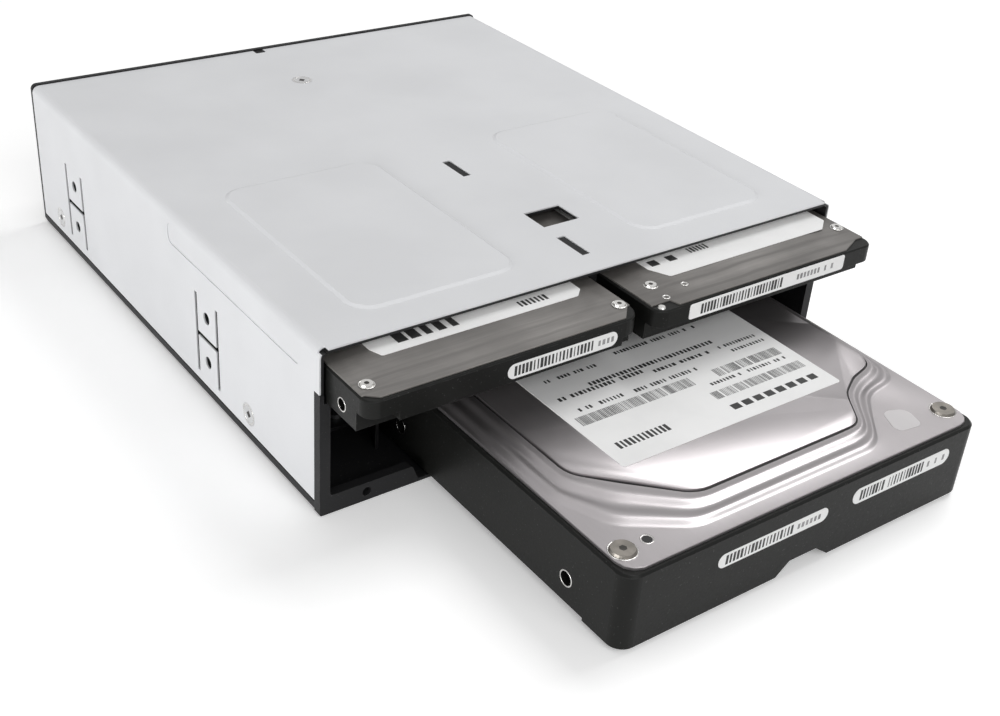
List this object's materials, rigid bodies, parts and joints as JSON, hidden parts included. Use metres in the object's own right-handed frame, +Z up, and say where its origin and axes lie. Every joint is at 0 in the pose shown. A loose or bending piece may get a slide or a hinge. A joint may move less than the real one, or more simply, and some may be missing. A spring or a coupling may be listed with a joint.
{
  "type": "hot swap drive cage",
  "caption": "Sheet-metal drive cage for a half-height 5.25 inch bay, with small drives side by side above a larger one, all sliding out of the open front.",
  "frame": {"origin": "centre of the cage's underside, without the drives that stand out of the front", "axes": "+X to the right seen from the open front, +Y from the front to the rear plate, +Z up; the drives pull out along -Y"},
  "size_m": [0.146, 0.2241, 0.0413],
  "materials": {
    "cover_grey": "light grey satin coat on thin steel",
    "tray_black": "black satin coat on thin steel",
    "frame_black": "black moulded plastic",
    "spring_steel": "bare spring steel",
    "zinc_steel": "bright zinc-plated fasteners",
    "board_green": "green solder mask on glass-fibre board",
    "socket_black": "black moulded connector body",
    "can_metal": "plain capacitor can",
    "chip_black": "black epoxy",
    "casting_black": "black coated die casting",
    "drive_cover_large": "satin stamped steel, faintly pink",
    "drive_cover_left": "satin stamped sheet, warm grey",
    "drive_cover_right": "satin stamped sheet, darker grey",
    "torx_steel": "plated drive screws",
    "label_white": "coated white label stock",
    "motor_metal": "turned motor base"
  },
  "bodies": {
    "cage": {"top_cover": "cover_grey", "base_tray": "tray_black", "front_frame": "frame_black", "rear_plate": "tray_black", "drive_shelf": "tray_black", "shelf_rivets": "zinc_steel", "bay_divider": "tray_black", "large_bay_guide_left": "tray_black", "large_bay_guide_right": "tray_black", "guide_rivets": "zinc_steel", "large_bay_spring_left": "spring_steel", "large_bay_spring_right": "spring_steel", "small_bay_spring_left": "spring_steel", "small_bay_spring_right": "spring_steel", "cover_side_screws": "zinc_steel", "cover_top_screw": "zinc_steel", "cover_post": "zinc_steel", "upper_board": "board_green", "upper_board_standoffs": "zinc_steel", "upper_board_screws": "zinc_steel", "small_drive_socket_left": "socket_black", "small_drive_socket_right": "socket_black", "data_port_left": "socket_black", "data_port_right": "socket_black", "upper_power_port": "socket_black", "capacitors": "can_metal", "control_chips": "chip_black", "backplane_board": "board_green", "backplane_standoffs": "zinc_steel", "backplane_screws": "zinc_steel", "large_drive_socket": "socket_black", "large_data_port": "socket_black", "lower_power_port": "socket_black"},
    "large_drive": {"large_drive_casting": "casting_black", "large_drive_cover": "drive_cover_large", "large_drive_cover_screws": "torx_steel", "large_drive_label": "label_white", "large_drive_end_labels": "label_white", "large_drive_board": "board_green", "large_drive_board_screws": "torx_steel", "large_drive_motor": "motor_metal", "large_drive_connector": "socket_black"},
    "left_drive": {"left_drive_casting": "casting_black", "left_drive_cover": "drive_cover_left", "left_drive_cover_screws": "torx_steel", "left_drive_label": "label_white", "left_drive_end_label": "label_white", "left_drive_board": "board_green", "left_drive_board_screws": "torx_steel", "left_drive_connector": "socket_black"},
    "right_drive": {"right_drive_casting": "casting_black", "right_drive_cover": "drive_cover_right", "right_drive_cover_screws": "torx_steel", "right_drive_label": "label_white", "right_drive_end_label": "label_white", "right_drive_board": "board_green", "right_drive_board_screws": "torx_steel", "right_drive_connector": "socket_black"}
  },
  "joints": [
    {"name": "large_drive_slide", "type": "slide", "parent": "cage", "child": "large_drive", "axis": [0, -1, 0], "range_m": [-0.068, 0.095]},
    {"name": "left_drive_slide", "type": "slide", "parent": "cage", "child": "left_drive", "axis": [0, -1, 0], "range_m": [-0.0175, 0.095]},
    {"name": "right_drive_slide", "type": "slide", "parent": "cage", "child": "right_drive", "axis": [0, -1, 0], "range_m": [-0.0188, 0.095]}
  ]
}
